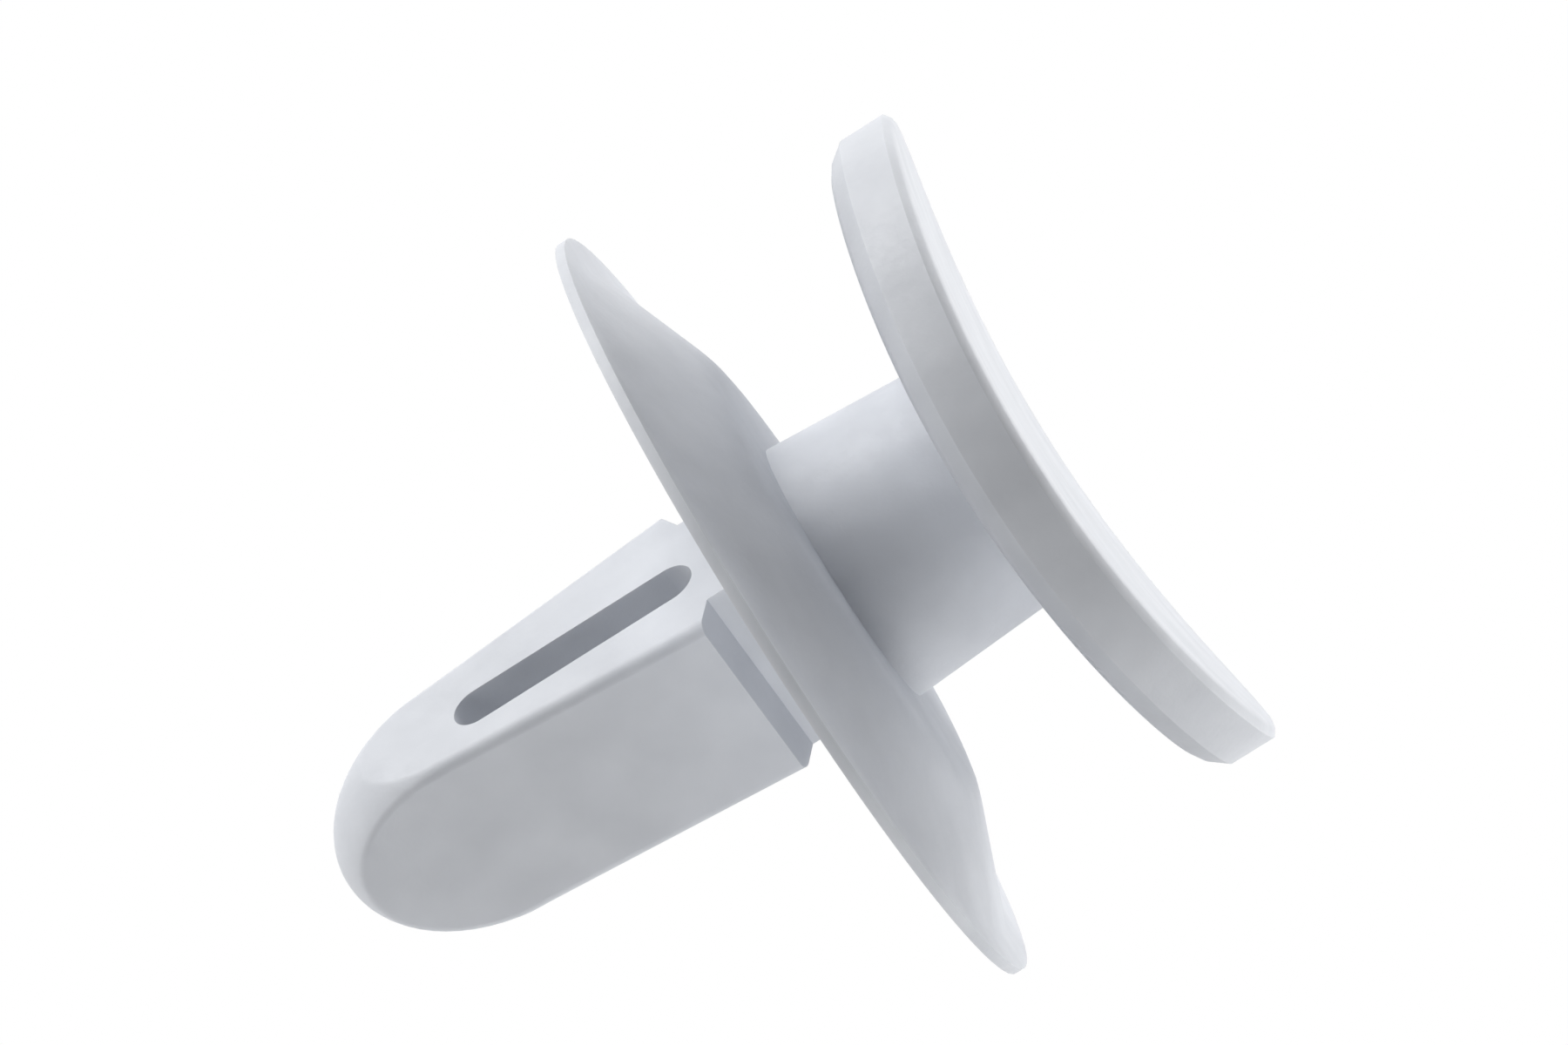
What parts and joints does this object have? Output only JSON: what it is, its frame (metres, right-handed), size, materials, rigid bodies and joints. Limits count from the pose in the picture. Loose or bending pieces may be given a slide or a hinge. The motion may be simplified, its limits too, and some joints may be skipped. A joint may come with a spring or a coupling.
{
  "type": "trim clip",
  "caption": "One-piece plastic push-in clip for a vehicle trim panel: bowed round head, neck, thin sealing skirt and a split spring shank with a bullet nose.",
  "frame": {"origin": "centre of the clip's box at its lowest plane, which the two low ends of the bowed head touch", "axes": "+Z along the clip's axis from the head to the nose; X runs along the bow of the head, towards its two low ends"},
  "size_m": [0.02, 0.02, 0.0205],
  "materials": {
    "moulding": "natural milky white nylon, satin, as moulded"
  },
  "bodies": {
    "root": {"trim_clip": "moulding"}
  },
  "joints": []
}
